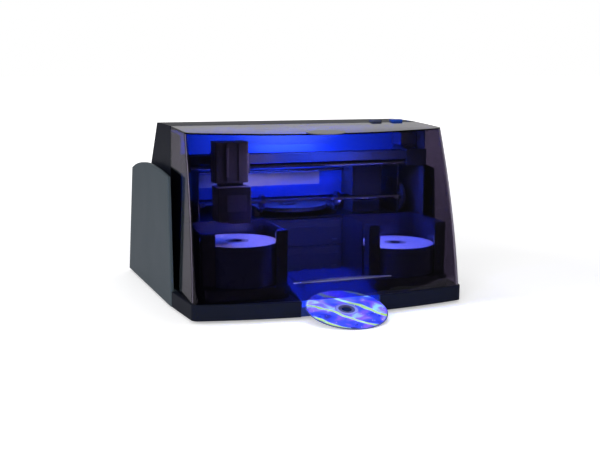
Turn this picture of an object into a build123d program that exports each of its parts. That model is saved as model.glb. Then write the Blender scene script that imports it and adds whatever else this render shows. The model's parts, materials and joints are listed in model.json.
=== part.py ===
"""Disc label printer: picks blank discs from two bins, burns and prints them, and drops them out in front.

Frame: millimetres, +Z up, -Y is the front. The origin is on the table, under the middle of the whole outline.
"""

import os
from math import cos, radians, sin, tan

from build123d import *

# Whole machine
FOOT_HEIGHT = 4.0
PLINTH_TOP = 27.5
PLINTH_HALF = 214.0
FLARE_HALF = 221.0
FLARE_BACK_Y = -61.0
REAR_Y = 243.0
BODY_REAR_HALF = 212.0
WALL = 3.0

# Lid and rear cover: the front leans back and its bow is the same at each height
CORNER_Y = -154.0
BOW = 27.0
LEAN = 0.12
LEAN_GROWTH = 0.00058
SIDE_TAPER = 7.0 / 238.0
COVER_HALF = 213.0
SECTION_HEIGHTS = (28.0, 90.0, 150.0, 210.0, 274.0)
SEAM_TOP_Y = -5.0
SEAM_LOW_Y = -21.0
SEAM_GAP = 0.8
# The crown of the top in side view, front to rear, as (y, z)
CROWN = ((-150.0, 258.0), (-104.0, 264.7), (-48.0, 267.6), (-5.0, 269.0), (40.0, 269.4), (86.0, 268.5))
REAR_SLOPE_FOOT = (134.0, 180.0)
REAR_DECK_EDGE = (196.0, 172.0)

# Lid hinge
HINGE_Y = -5.0
HINGE_Z = 266.0
KNUCKLE_R = 3.0
HINGE_ROD_R = 1.2
RUNNING_GAP = 0.05
FIT_GAP = 0.02
KNUCKLE_XS = (-110.0, 0.0, 110.0)
KNUCKLE_LENGTH = 24.0

# Side pods: outline in side view as (y, z), front foot first
POD_REAR_Y = 246.0
POD_INNER = 217.2
POD_OUTER = 222.0
POD_OUTLINE = ((-60.0, 4.0), (-45.0, 196.6), (-23.0, 199.4), (10.0, 202.2), (51.0, 204.2), (80.0, 204.7),
               (110.0, 203.2), (142.0, 200.0), (182.0, 193.0), (208.0, 186.0), (POD_REAR_Y, 4.0))

# Discs
DISC_R = 60.0
DISC_HOLE_R = 7.5
DISC_THICK = 1.2
STACK_Y = -92.0
STACK_X = 129.0
STACK_FLOOR = 45.0
LEFT_DISCS = 50
RIGHT_DISCS = 36

# Chute and the disc lying in it
CHUTE_LEFT = -60.0
CHUTE_RIGHT = 65.0
CHUTE_TILT = 14.0
CHUTE_FRONT_Y = -180.0
CHUTE_KNEE_Y = -105.0
CHUTE_BACK_Y = -32.0
PRINTED_X = 2.5
PRINTED_FRONT_Y = -259.0
PRINTED_LIFT = 0.5

# Bins
BIN_INNER = 61.5
BIN_WALL = 2.0
BIN_TOP = 124.0

# Disc drives
DRIVE_HALF = 73.0
BEZEL_HALF = 74.0
BEZEL_FRONT_Y = -21.0
BEZEL_BACK_Y = -15.0
BEZEL_HEIGHT = 42.0
LOWER_DRIVE_Z = 33.5
UPPER_DRIVE_Z = 76.5
DRIVE_DEPTH = 170.0
TRAY_HALF = 63.5
TRAY_TRAVEL = 138.5
TRAY_RISE = 29.5
TRAY_HEIGHT = 9.0
EJECT_X = 56.0
EJECT_RISE = 8.0

# Print mechanism
CHASSIS_Z = 121.2
CHASSIS_HALF = 168.0
PRINT_TRAY_Z = 131.0
PRINT_TRAY_THICK = 6.0
PRINT_TRAY_HALF = 66.0
CARRIAGE_X = 124.0
PRINT_ROD_Y = 46.0
PRINT_ROD_Z = 190.0
PRINT_ROD_R = 3.0
BELT_Y = 57.0
BELT_Z = 206.0
BELT_PULLEY_X = 147.0
BELT_PULLEY_R = 6.0
BACK_PANEL_Y = 62.0
FEED_Y = -10.0
FEED_Z = 149.0
FEED_PULLEY_R = 21.0
FEED_WHEEL_R = 11.7
FEED_MOTOR_Y = 82.0

# Picker
PICKER_X = -129.0
RAIL_Y = -46.0
RAIL_Z = (214.0, 227.0)
RAIL_ROD_Z = 209.0
RAIL_ROD_R = 4.0
RAIL_LEFT = -190.0
RAIL_RIGHT = 164.0
HEAD_FOOT_Z = 137.0
COLUMN_FRONT_Y = -101.0
COLUMN_TOP = 251.0

# Inner panels
INNER_PANEL_X = 199.0

# Top buttons and the rear opening
POWER_BUTTON = ((166.5, 185.5), (4.0, 19.0))
CARTRIDGE_BUTTON = ((130.0, 148.0), (4.0, 19.0))
BUTTON_GAP = 0.4
BUTTON_TOP = 272.8
LIGHT_PLACE = (197.0, 11.0)
PORT_OPENING = ((-62.0, 62.0), (200.0, 260.0), (36.0, 112.0))
PANEL_Y = (204.0, 205.5)


def block(xs, ys, zs):
    """A box between two limits along each axis."""
    size = (xs[1] - xs[0], ys[1] - ys[0], zs[1] - zs[0])
    middle = ((xs[0] + xs[1]) / 2, (ys[0] + ys[1]) / 2, (zs[0] + zs[1]) / 2)
    return Pos(*middle) * Box(*size)


def rod(axis, centre, radius, span):
    """A cylinder along X, Y or Z; centre gives the other two coordinates in X, Y, Z order."""
    length = span[1] - span[0]
    middle = (span[0] + span[1]) / 2
    if axis == "X":
        return Pos(middle, *centre) * Rot(0, 90, 0) * Cylinder(radius, length)
    if axis == "Y":
        return Pos(centre[0], middle, centre[1]) * Rot(90, 0, 0) * Cylinder(radius, length)
    return Pos(*centre, middle) * Cylinder(radius, length)


def side_profile(points, xs):
    """A closed outline in side view, as (y, z), drawn out between two values of x."""
    face = make_face(Polyline(*[(0, y, z) for y, z in points], close=True))
    return Pos(xs[0], 0, 0) * extrude(face, amount=xs[1] - xs[0], dir=(1, 0, 0))


def plan_face(corner_y, half, back_half, back_y, radius):
    """A plan outline with a bowed front, rounded front corners and straight sides."""
    bow = ThreePointArc((-half, corner_y), (0, corner_y - BOW), (half, corner_y))
    sides = Polyline((half, corner_y), (back_half, back_y), (-back_half, back_y), (-half, corner_y))
    face = make_face([*bow.edges(), *sides.edges()])
    return fillet(face.vertices().group_by(Axis.Y)[0], radius)


def rounded(solid, axis, radius):
    """The solid with its edges along one axis rounded."""
    return fillet(solid.edges().filter_by(axis), radius)


def group(*shapes):
    """Several separate solids as one shape."""
    return Compound([solid for shape in shapes for solid in shape.solids()])


def write(name, shape):
    """Writes one named piece, moved so that the origin lies under the middle of the whole outline."""
    placed = Pos(0, -(PRINTED_FRONT_Y + POD_REAR_Y) / 2, 0) * shape
    placed.label = name
    export_step(placed, f"parts/{name}.step")


def corner_line(z):
    """Where the front corners of the lid stand at one height."""
    rise = z - SECTION_HEIGHTS[0]
    return CORNER_Y + LEAN * rise + LEAN_GROWTH * rise * rise


def cover_form(inset):
    """The leaning, bowed form that the lid and the rear cover share, drawn in by a wall."""
    faces = []
    for z in SECTION_HEIGHTS:
        half = COVER_HALF - SIDE_TAPER * (z - SECTION_HEIGHTS[0]) - inset
        face = plan_face(corner_line(z) + inset, half, half, REAR_Y + 20, 12.0 - inset)
        faces.append(Pos(0, 0, z) * face)
    return loft(faces)


def crown_profile(inset):
    """The side view of the covers' top and sloped rear, drawn in by a wall."""
    top = Spline(*[(0, y, z - inset) for y, z in CROWN])
    deck_y, deck_z = REAR_DECK_EDGE
    slope_y, slope_z = REAR_SLOPE_FOOT
    rest = Polyline((0, CROWN[-1][0], CROWN[-1][1] - inset), (0, slope_y - inset, slope_z - inset),
                    (0, deck_y - inset, deck_z - inset), (0, REAR_Y - inset, 0),
                    (0, CROWN[0][0] - 60, 0), (0, CROWN[0][0] - 60, CROWN[0][1] - inset - 8),
                    (0, CROWN[0][0], CROWN[0][1] - inset))
    face = make_face([*top.edges(), *rest.edges()])
    return Pos(-250, 0, 0) * extrude(face, amount=500, dir=(1, 0, 0))


def cover_shell():
    """The whole shell of lid and rear cover, open below."""
    outer = cover_form(0) & crown_profile(0)
    inner = cover_form(WALL) & crown_profile(WALL)
    return (outer - inner) & block((-250, 250), (-250, 300), (PLINTH_TOP + 0.5, 300))


def seam_cutter(offset, forward):
    """Everything in front of the seam, or everything behind it."""
    far = -400 if forward else 400
    low, high = SEAM_LOW_Y + offset, SEAM_TOP_Y + offset
    points = ((low, 0), (high, HINGE_Z - KNUCKLE_R - 1), (high, 300), (far, 300), (far, 0))
    return side_profile(points, (-250, 250))


def lid_lip():
    """The crescent lifting lip that stands out of the window."""
    upper = ThreePointArc((-70, 53.7), (7, 58.5), (84, 54.3))
    lower = ThreePointArc((84, 54.3), (7, 51.5), (-70, 53.7))
    face = make_face([*upper.edges(), *lower.edges()])
    lens = Pos(0, -150, 0) * extrude(Plane.XZ * face, amount=50)
    return (lens & cover_form(-4)) - cover_form(1)


def make_lid(shell):
    """The smoked lid: its window, top and sides, with the barrel of its hinge along the top rear edge."""
    lid = shell & seam_cutter(0, True)
    lid += rod("X", (HINGE_Y, HINGE_Z), KNUCKLE_R, (-205, 205)) & cover_form(0)
    lid += lid_lip()
    lid -= rod("X", (HINGE_Y, HINGE_Z), HINGE_ROD_R + RUNNING_GAP, (-230, 230))
    for x in KNUCKLE_XS:
        reach = KNUCKLE_LENGTH / 2 + 0.5
        lid -= block((x - reach, x + reach), (HINGE_Y - KNUCKLE_R - 0.6, 20), (250, 280))
    write("lid", lid)


def make_badge():
    """A bare oval plate on the lid's top."""
    oval = Pos(2, -113, 255) * extrude(Ellipse(31, 17), amount=30)
    badge = (oval & crown_profile(-0.8)) - crown_profile(0)
    write("lid_badge", badge)


def make_hinge():
    """The fixed knuckles and the rod through them and the lid's barrel."""
    knuckles = []
    for x in KNUCKLE_XS:
        span = (x - KNUCKLE_LENGTH / 2, x + KNUCKLE_LENGTH / 2)
        knuckle = rod("X", (HINGE_Y, HINGE_Z), KNUCKLE_R, span)
        knuckle += block(span, (HINGE_Y, 24), (HINGE_Z - KNUCKLE_R, HINGE_Z - 0.3))
        knuckle -= rod("X", (HINGE_Y, HINGE_Z), HINGE_ROD_R + FIT_GAP, span)
        knuckles.append(knuckle)
    write("lid_hinge", group(*knuckles, rod("X", (HINGE_Y, HINGE_Z), HINGE_ROD_R, (-202, 202))))


def make_rear_cover(shell):
    """The fixed cover behind the seam, with holes for the buttons and the light and an opening for the ports."""
    low, high = SEAM_LOW_Y + SEAM_GAP, SEAM_TOP_Y + SEAM_GAP
    edge = HINGE_Y + KNUCKLE_R + 0.5
    points = ((low, 0), (high, HINGE_Z - KNUCKLE_R - 2), (edge, HINGE_Z - KNUCKLE_R - 1), (edge, 300),
              (400, 300), (400, 0))
    cover = shell & side_profile(points, (-250, 250))
    for xs, ys in (POWER_BUTTON, CARTRIDGE_BUTTON):
        hole = block((xs[0] - BUTTON_GAP, xs[1] + BUTTON_GAP), (ys[0] - BUTTON_GAP, ys[1] + BUTTON_GAP), (255, 280))
        cover -= hole
    cover -= rod("Z", LIGHT_PLACE, 2.0, (255, 280))
    cover -= block(*PORT_OPENING)
    write("rear_cover", cover)


def make_buttons():
    """Two sprung buttons with the flanges that hold them under the cover, and the light beside them."""
    for name, (xs, ys) in (("power_button", POWER_BUTTON), ("cartridge_button", CARTRIDGE_BUTTON)):
        cap = rounded(block(xs, ys, (264, BUTTON_TOP)), Axis.Z, 3.0)
        cap = fillet(cap.edges().group_by(Axis.Z)[-1], 1.0)
        flange = block((xs[0] - 1.5, xs[1] + 1.5), (ys[0] - 1.5, ys[1] + 1.5), (263.2, 265.6))
        write(name, cap + flange)
    light = rod("Z", LIGHT_PLACE, 2.0, (262, 270.2))
    write("status_light", light)


def button_board():
    """The small board under the top buttons, with its posts and switches."""
    board = block((122, 198.6), (2, 24), (255, 256.6))
    for x in (126, 157, 190):
        board += rod("Z", (x, 22), 1.5, (256.6, 265.9))
    board += rod("Z", LIGHT_PLACE, 1.4, (256.6, 262))
    for xs, ys in (POWER_BUTTON, CARTRIDGE_BUTTON):
        board += rod("Z", (sum(xs) / 2, sum(ys) / 2), 3, (256.6, 261.2))
    return board


def plinth_plan(inset):
    """The plinth's plan: bowed front, sides that flare to the pods, then a step in behind them."""
    front = CORNER_Y - 2.0 + inset
    half, flare, back = PLINTH_HALF - inset, FLARE_HALF - inset, BODY_REAR_HALF - inset
    bow = ThreePointArc((-half, front), (0, front - BOW), (half, front))
    step, rear = FLARE_BACK_Y - inset, REAR_Y - inset
    sides = Polyline((half, front), (flare, step), (back, step), (back, rear), (-back, rear), (-back, step),
                     (-flare, step), (-half, front))
    face = make_face([*bow.edges(), *sides.edges()])
    return fillet(face.vertices().group_by(Axis.Y)[0], 12.0 - inset)


def make_plinth():
    """The moulded plinth: a deck on walls, open below, with a notch for the chute."""
    outer = Pos(0, 0, FOOT_HEIGHT) * extrude(plinth_plan(0), amount=PLINTH_TOP - FOOT_HEIGHT)
    cavity = Pos(0, 0, FOOT_HEIGHT) * extrude(plinth_plan(WALL), amount=PLINTH_TOP - FOOT_HEIGHT - WALL)
    edge = outer.edges().group_by(Axis.Z)[-1].filter_by(lambda e: e.center().Y < -140)
    outer = fillet(edge, 1.5)
    notch = block((CHUTE_LEFT, CHUTE_RIGHT), (-300, CHUTE_BACK_Y), (0, 40))
    frame = block((CHUTE_LEFT - WALL, CHUTE_RIGHT + WALL), (-300, CHUTE_BACK_Y + WALL), (0, 40))
    write("base_plinth", outer - (cavity - frame) - notch)


def make_bottom():
    """The steel plate that closes the plinth, with its rubber feet."""
    plate = Pos(0, 0, FOOT_HEIGHT) * extrude(plinth_plan(WALL + 0.4), amount=1.5)
    plate -= block((CHUTE_LEFT - WALL - 0.4, CHUTE_RIGHT + WALL + 0.4), (-300, CHUTE_BACK_Y + WALL + 0.4), (0, 40))
    write("bottom_plate", plate)
    feet = []
    for x in (-185, 185):
        for y in (-125, 205):
            foot = rod("Z", (x, y), 9, (0, FOOT_HEIGHT))
            feet.append(chamfer(foot.edges().group_by(Axis.Z)[0], 0.8))
    write("rubber_feet", group(*feet))


def disc_plane_z(y):
    """Height of the lying disc's underside at one y."""
    return PRINTED_LIFT + (y - PRINTED_FRONT_Y) * tan(radians(CHUTE_TILT))


def make_chute():
    """The sloped output chute: floor, side walls, front apron and the ribs that the disc slides on."""
    rib = 2.0
    front = disc_plane_z(CHUTE_FRONT_Y) - 0.3
    knee = disc_plane_z(CHUTE_KNEE_Y) - 0.3
    back = knee + 3.0
    left, right = CHUTE_LEFT + 0.2, CHUTE_RIGHT - 0.2
    low = FOOT_HEIGHT + 0.4
    back_y = CHUTE_BACK_Y - 0.4
    floor = ((CHUTE_FRONT_Y, front - rib), (CHUTE_KNEE_Y, knee - rib), (back_y, back - rib),
             (back_y, back - rib - 2.5), (CHUTE_KNEE_Y, knee - rib - 2.5), (CHUTE_FRONT_Y, front - rib - 2.5))
    chute = side_profile(floor, (left, right))
    chute += block((left, right), (CHUTE_FRONT_Y, CHUTE_FRONT_Y + 2), (low, front - rib - 0.5))
    chute += block((left, right), (back_y - 2, back_y), (low, back - rib - 0.5))
    wall = ((CHUTE_FRONT_Y, low), (CHUTE_FRONT_Y, PLINTH_TOP), (CHUTE_FRONT_Y + 6, PLINTH_TOP),
            (CHUTE_KNEE_Y, knee + 4), (back_y, back + 2), (back_y, low))
    for x in (left, right - 1.5):
        chute += side_profile(wall, (x, x + 1.5))
    ribs = ((CHUTE_FRONT_Y, front), (CHUTE_KNEE_Y, knee), (back_y, back), (back_y, back - rib - 1),
            (CHUTE_KNEE_Y, knee - rib - 1), (CHUTE_FRONT_Y, front - rib - 1))
    for x in (-36, -3, 30):
        chute += side_profile(ribs, (x, x + 5))
    write("output_chute", chute)


def make_printed_disc():
    """The finished disc, lying out of the chute with its front edge just above the table."""
    tilt = radians(CHUTE_TILT)
    disc = Pos(0, 0, DISC_THICK / 2) * (Cylinder(DISC_R, DISC_THICK) - Cylinder(DISC_HOLE_R, DISC_THICK))
    middle_y = PRINTED_FRONT_Y + DISC_R * cos(tilt)
    place = Pos(PRINTED_X, middle_y, PRINTED_LIFT + DISC_R * sin(tilt)) * Rot(CHUTE_TILT, 0, 0)
    write("printed_disc", place * disc)


def make_pods():
    """The two opaque side pods, with softened outer edges."""
    points = POD_OUTLINE
    for side, name in ((-1, "left_side_pod"), (1, "right_side_pod")):
        foot_front, foot_rear = points[0], points[-1]
        crest = Spline(*[(0, y, z) for y, z in points[2:-2]])
        rest = Polyline((0, *points[-3]), (0, *points[-2]), (0, *foot_rear), (0, *foot_front), (0, *points[1]),
                        (0, *points[2]))
        face = make_face([*crest.edges(), *rest.edges()])
        pod = extrude(face, amount=POD_OUTER - POD_INNER, dir=(side, 0, 0))
        pod = Pos(side * POD_INNER, 0, 0) * pod
        foot = block((BODY_REAR_HALF + 0.3, POD_INNER + 1), (-58, 240), (FOOT_HEIGHT + 0.5, PLINTH_TOP - 0.2))
        web = foot if side > 0 else mirror(foot, about=Plane.YZ)
        outer_face = pod.faces().sort_by(Axis.X)[-1 if side > 0 else 0]
        edges = [e for e in outer_face.edges() if e.center().Z > FOOT_HEIGHT + 1]
        pod = fillet(edges, 2.0)
        write(name, pod + web)


def make_bin(name, centre_x):
    """One disc bin: pedestal floor, rear and side walls, and a post at each front corner that hugs the stack."""
    outer = BIN_INNER + BIN_WALL
    inner = BIN_INNER
    tray = block((-outer, outer), (-outer, outer), (PLINTH_TOP, STACK_FLOOR))
    tray = fillet(tray.edges().filter_by(Axis.Z).group_by(Axis.Y)[0], 14.0)
    pocket = outer - 6.0
    tray -= block((-pocket, pocket), (-pocket, pocket), (PLINTH_TOP, STACK_FLOOR - WALL))
    tray += block((-outer, outer), (inner, outer), (STACK_FLOOR - 1, BIN_TOP))
    for side in (-1, 1):
        xs = sorted((side * inner, side * outer))
        tray += block(xs, (-16, outer), (STACK_FLOOR - 1, BIN_TOP))
        post_xs = sorted((side * 46, side * outer))
        post = block(post_xs, (-44, -26), (STACK_FLOOR - 1, BIN_TOP))
        post -= rod("Z", (0, 0), DISC_R + 1.2, (STACK_FLOOR, BIN_TOP + 1))
        tray += post
    write(name, Pos(centre_x, STACK_Y, 0) * tray)


def make_stack(name, centre_x, count):
    """A stack of blank discs, each disc's rim standing out between shallow grooves."""
    groove = 0.25
    points = [(DISC_HOLE_R, 0), (DISC_R - groove, 0)]
    for i in range(count):
        points += [(DISC_R, (i + 0.25) * DISC_THICK), (DISC_R, (i + 0.75) * DISC_THICK)]
        points += [(DISC_R - groove, (i + 1) * DISC_THICK)]
    points += [(DISC_HOLE_R, count * DISC_THICK)]
    face = make_face(Polyline(*[(r, 0, z) for r, z in points], close=True))
    stack = revolve(face, Axis.Z, 360)
    write(name, Pos(centre_x, STACK_Y, STACK_FLOOR) * stack)


def make_drive(prefix, low):
    """One disc drive's sliding tray and eject button; returns its body and its bezel."""
    tray_low, tray_high = low + TRAY_RISE, low + TRAY_RISE + TRAY_HEIGHT
    eject = block((EJECT_X - 4, EJECT_X + 4), (BEZEL_FRONT_Y - 1.5, BEZEL_BACK_Y - 2),
                  (low + EJECT_RISE - 1.5, low + EJECT_RISE + 1.5))
    flange = block((EJECT_X - 5, EJECT_X + 5), (BEZEL_BACK_Y + 0.2, BEZEL_BACK_Y + 1.7),
                   (low + EJECT_RISE - 2.5, low + EJECT_RISE + 2.5))
    eject += flange + block((EJECT_X - 3, EJECT_X + 3), (BEZEL_BACK_Y - 2, BEZEL_BACK_Y + 1),
                            (low + EJECT_RISE - 1.4, low + EJECT_RISE + 1.4))
    bezel = block((-BEZEL_HALF, BEZEL_HALF), (BEZEL_FRONT_Y, BEZEL_BACK_Y), (low, low + BEZEL_HEIGHT))
    bezel -= block((-TRAY_HALF - 0.4, TRAY_HALF + 0.4), (-30, 0), (tray_low - 0.4, tray_high + 0.4))
    bezel -= block((EJECT_X - 4.3, EJECT_X + 4.3), (-30, 0), (low + EJECT_RISE - 1.8, low + EJECT_RISE + 1.8))
    body = block((-DRIVE_HALF, DRIVE_HALF), (BEZEL_BACK_Y, BEZEL_BACK_Y + DRIVE_DEPTH), (low + 0.7, low + 41.5))
    body -= block((-TRAY_HALF - 0.4, TRAY_HALF + 0.4), (-20, 145), (tray_low - 0.4, tray_high + 0.4))
    body -= block((EJECT_X - 6, EJECT_X + 6), (-20, BEZEL_BACK_Y + 6), (low + EJECT_RISE - 4, low + EJECT_RISE + 4))
    door = block((-TRAY_HALF, TRAY_HALF), (BEZEL_FRONT_Y, BEZEL_FRONT_Y + 3), (tray_low, tray_high))
    tray = block((-TRAY_HALF + 0.5, TRAY_HALF - 0.5), (BEZEL_FRONT_Y + 3, 136), (tray_low + 1, tray_high - 2))
    centre_y = STACK_Y + TRAY_TRAVEL
    tray -= rod("Z", (0, centre_y), DISC_R + 0.8, (tray_high - 4, tray_high))
    tray -= block((-16, 16), (centre_y - 30, centre_y + 58), (tray_low, tray_high))
    write(f"{prefix}_drive_tray", door + tray)
    write(f"{prefix}_eject_button", eject)
    return body, bezel


def make_drives():
    """Both disc drives."""
    lower_body, lower_bezel = make_drive("lower", LOWER_DRIVE_Z)
    upper_body, upper_bezel = make_drive("upper", UPPER_DRIVE_Z)
    write("drive_bodies", group(lower_body, upper_body))
    write("drive_bezels", group(lower_bezel, upper_bezel))


def make_drive_cage():
    """The folded steel cage that holds both drives and carries the printer on its top."""
    wall = 1.2
    inner = BEZEL_HALF + 0.2
    cage = block((-inner - wall, inner + wall), (-10, 157), (CHASSIS_Z - wall, CHASSIS_Z))
    for side in (-1, 1):
        xs = sorted((side * inner, side * (inner + wall)))
        cage += block(xs, (-10, 157), (PLINTH_TOP, CHASSIS_Z))
        lip = sorted((side * inner, side * (inner + 12)))
        cage += block(lip, (-10, 157), (PLINTH_TOP, PLINTH_TOP + wall))
        for low in (LOWER_DRIVE_Z, UPPER_DRIVE_Z):
            shelf = sorted((side * DRIVE_HALF, side * (inner + 0.1)))
            cage += block(shelf, (0, 150), (low + 18, low + 24))
        ledge = sorted((side * 60, side * (inner + 0.1)))
        cage += block(ledge, (0, 150), (LOWER_DRIVE_Z - 0.6, LOWER_DRIVE_Z + 0.7))
    write("drive_cage", cage)


def make_printer_chassis():
    """The print mechanism's steel base and its slitted side plates."""
    base = block((-CHASSIS_HALF, CHASSIS_HALF), (-14, 145), (CHASSIS_Z, CHASSIS_Z + 1.5))
    for side in (-1, 1):
        xs = sorted((side * (CHASSIS_HALF - 1.5), side * CHASSIS_HALF))
        plate = block(xs, (-18, 100), (CHASSIS_Z, 212))
        for i in range(5):
            y = 2 + 8 * i
            plate -= block((-200, 200), (y, y + 3), (160, 178))
        plate -= rod("X", (FEED_Y, FEED_Z), 3 + RUNNING_GAP, (-200, 200))
        base += plate
    base -= rod("X", (FEED_MOTOR_Y, FEED_Z), 1.7, (100, 200))
    for side in (-1, 1):
        guide = sorted((side * (PRINT_TRAY_HALF + 0.5), side * (PRINT_TRAY_HALF + 4)))
        base += block(guide, (6, 140), (CHASSIS_Z + 1, PRINT_TRAY_Z + PRINT_TRAY_THICK + 2))
        ledge = sorted((side * (PRINT_TRAY_HALF - 4), side * (PRINT_TRAY_HALF + 4)))
        base += block(ledge, (6, 140), (CHASSIS_Z + 1, PRINT_TRAY_Z - 0.3))
    write("printer_chassis", base)
    bar = block((-166.5, 166.5), (-26, -23), (150.5, 152.5))
    for side in (-1, 1):
        bar += block(sorted((side * 160, side * 166.5)), (-24, -18), (146, 152.5))
    write("printer_front_bar", bar)
    shield = block((-166.5, 32), (-12, -10.6), (174, 194)) + block((30.6, 32), (-12, 2), (174, 194))
    write("carriage_shield", shield)


def make_print_carriage():
    """The carriage parked at the right with its ink cartridge, and the station below it."""
    left, right = CARRIAGE_X - 26, CARRIAGE_X + 26
    carriage = block((left, right), (8, 54), (150, 203))
    carriage -= block((left + 6, right - 6), (10, 38), (151.5, 210))
    carriage -= block((left + 13, right - 13), (15, 33), (140, 160))
    carriage -= rod("X", (PRINT_ROD_Y, PRINT_ROD_Z), PRINT_ROD_R + RUNNING_GAP, (left - 5, right + 5))
    carriage += block((CARRIAGE_X - 8, CARRIAGE_X + 8), (53.9, BELT_Y - 2.3), (196, 202))
    write("print_carriage", carriage)
    cartridge = rounded(block((left + 6.5, right - 6.5), (10.5, 37.5), (151.5, 201)), Axis.Z, 2.0)
    cartridge += block((left + 14, right - 14), (16, 32), (143, 152))
    write("ink_cartridge", cartridge)
    station = block((left + 2, right - 2), (10, 46), (CHASSIS_Z + 1.5, 140))
    station -= block((left + 12, right - 12), (14, 34), (130, 141))
    write("service_station", station)


def belt_loop(distance, radius_a, radius_b, width):
    """A closed belt round two pulleys, 0.2 mm clear of both, in the XY plane."""
    def hull(extra):
        circles = Circle(radius_a + extra) + Pos(distance, 0) * Circle(radius_b + extra)
        return extrude(make_hull(circles.edges()), amount=width)
    return hull(1.4) - hull(0.2)


def toothed_wheel(radius, width, bore, teeth):
    """A belt pulley with shallow teeth and a bore, along Z."""
    wheel = Cylinder(radius, width)
    for i in range(teeth):
        wheel -= Rot(0, 0, 360 * i / teeth) * Pos(radius, 0, 0) * Box(0.8, 0.9, width)
    return wheel - Cylinder(bore, width)


def make_carriage_drive():
    """The pulleys that move the print carriage; returns their belt and motor."""
    plane = Plane(origin=(-BELT_PULLEY_X, BELT_Y - 2, BELT_Z), x_dir=(1, 0, 0), z_dir=(0, 1, 0))
    belt = belt_loop(2 * BELT_PULLEY_X, BELT_PULLEY_R, BELT_PULLEY_R, 4)
    wheel = Rot(90, 0, 0) * toothed_wheel(BELT_PULLEY_R, 5, 1.5 + RUNNING_GAP, 18)
    write("belt_idler", Pos(-BELT_PULLEY_X, BELT_Y, BELT_Z) * wheel)
    tight = Rot(90, 0, 0) * toothed_wheel(BELT_PULLEY_R, 5, 1.5, 18)
    shaft = rod("Y", (BELT_PULLEY_X, BELT_Z), 1.5, (BELT_Y - 2.5, BACK_PANEL_Y + 2))
    write("belt_drive_pulley", Pos(BELT_PULLEY_X, BELT_Y, BELT_Z) * tight + shaft)
    motor = rod("Y", (BELT_PULLEY_X, BELT_Z), 16, (BACK_PANEL_Y + 1.5, 92))
    motor -= rod("Y", (BELT_PULLEY_X, BELT_Z), 1.5 + RUNNING_GAP, (BACK_PANEL_Y, BACK_PANEL_Y + 3))
    return plane * belt, motor


def make_print_tray():
    """The tray that carries a disc under the cartridge: round nose, side rails and a disc recess."""
    high = PRINT_TRAY_Z + PRINT_TRAY_THICK
    centre_y = STACK_Y + TRAY_TRAVEL
    half = PRINT_TRAY_HALF
    tray = block((-half, half), (centre_y, 138), (PRINT_TRAY_Z, high))
    tray += rod("Z", (0, centre_y), half - 2.5, (PRINT_TRAY_Z, high))
    for side in (-1, 1):
        tray += block(sorted((side * (half - 5), side * half)), (-6, centre_y + 1), (PRINT_TRAY_Z, high))
        brace = sorted((side * (half - 10), side * half))
        tray += block(brace, (centre_y - 20, centre_y + 1), (PRINT_TRAY_Z, high))
    tray -= rod("Z", (0, centre_y), DISC_R + 0.8, (high - 2, high + 1))
    tray -= rod("Z", (0, centre_y), 14, (PRINT_TRAY_Z - 1, high))
    tray += rod("Z", (0, centre_y), DISC_HOLE_R - 0.3, (PRINT_TRAY_Z, high - 0.5))
    for turn in (0, 120, 240):
        spoke = Rot(0, 0, turn) * block((0, 15), (-2, 2), (PRINT_TRAY_Z, PRINT_TRAY_Z + 2))
        tray += Pos(0, centre_y, 0) * spoke
    write("print_tray", tray)


def make_feed():
    """The feed shaft with its wheels, its large pulley and the motor's; returns their belt and motor."""
    wheels = []
    for x in (-63.5, 63.5):
        wheel = rod("X", (FEED_Y, FEED_Z), FEED_WHEEL_R, (x - 2.5, x + 2.5))
        wheels.append(wheel - rod("X", (FEED_Y, FEED_Z), 3 + FIT_GAP, (x - 3, x + 3)))
    write("feed_roller", group(rod("X", (FEED_Y, FEED_Z), 3, (-169, 176)), *wheels))
    pulley = Pos(173, FEED_Y, FEED_Z) * Rot(0, 90, 0) * toothed_wheel(FEED_PULLEY_R, 6, 3 + FIT_GAP, 60)
    for i in range(6):
        angle = radians(60 * i)
        place = (FEED_Y + 12.5 * cos(angle), FEED_Z + 12.5 * sin(angle))
        pulley -= rod("X", place, 4.2, (160, 190))
    write("feed_pulley", pulley)
    small = Pos(173, FEED_MOTOR_Y, FEED_Z) * Rot(0, 90, 0) * toothed_wheel(6, 6, 1.5, 18)
    small += rod("X", (FEED_MOTOR_Y, FEED_Z), 1.5, (164, 177))
    write("feed_motor_pulley", small)
    motor = rod("X", (FEED_MOTOR_Y, FEED_Z), 15, (140, 166.5))
    motor -= rod("X", (FEED_MOTOR_Y, FEED_Z), 1.5 + RUNNING_GAP, (163, 167))
    plane = Plane(origin=(171, FEED_Y, FEED_Z), x_dir=(0, 1, 0), z_dir=(1, 0, 0))
    return plane * belt_loop(FEED_MOTOR_Y - FEED_Y, FEED_PULLEY_R, 6, 4), motor


def make_inner_panels():
    """The panels inside: the lit one at the back and one each side."""
    back = block((-INNER_PANEL_X, INNER_PANEL_X), (BACK_PANEL_Y, BACK_PANEL_Y + 1.5), (145, 265.4))
    back -= rod("Y", (BELT_PULLEY_X, BELT_Z), 2.5, (50, 70))
    back += rod("Y", (-BELT_PULLEY_X, BELT_Z), 1.5, (BELT_Y - 2.5, BACK_PANEL_Y))
    for side in (-1, 1):
        slot = sorted((side * (CHASSIS_HALF - 1.5), side * CHASSIS_HALF))
        back -= block(slot, (50, 70), (100, 212))
    back -= block((169, 178), (50, 70), (140, 174))
    write("inner_back_panel", back)
    outline = ((-46, PLINTH_TOP), (-46, 258), (80, 262), (116, 192), (116, PLINTH_TOP))
    right = side_profile(outline, (INNER_PANEL_X, INNER_PANEL_X + 1.5))
    write("inner_side_panels", group(mirror(right, about=Plane.YZ), right))


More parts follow.
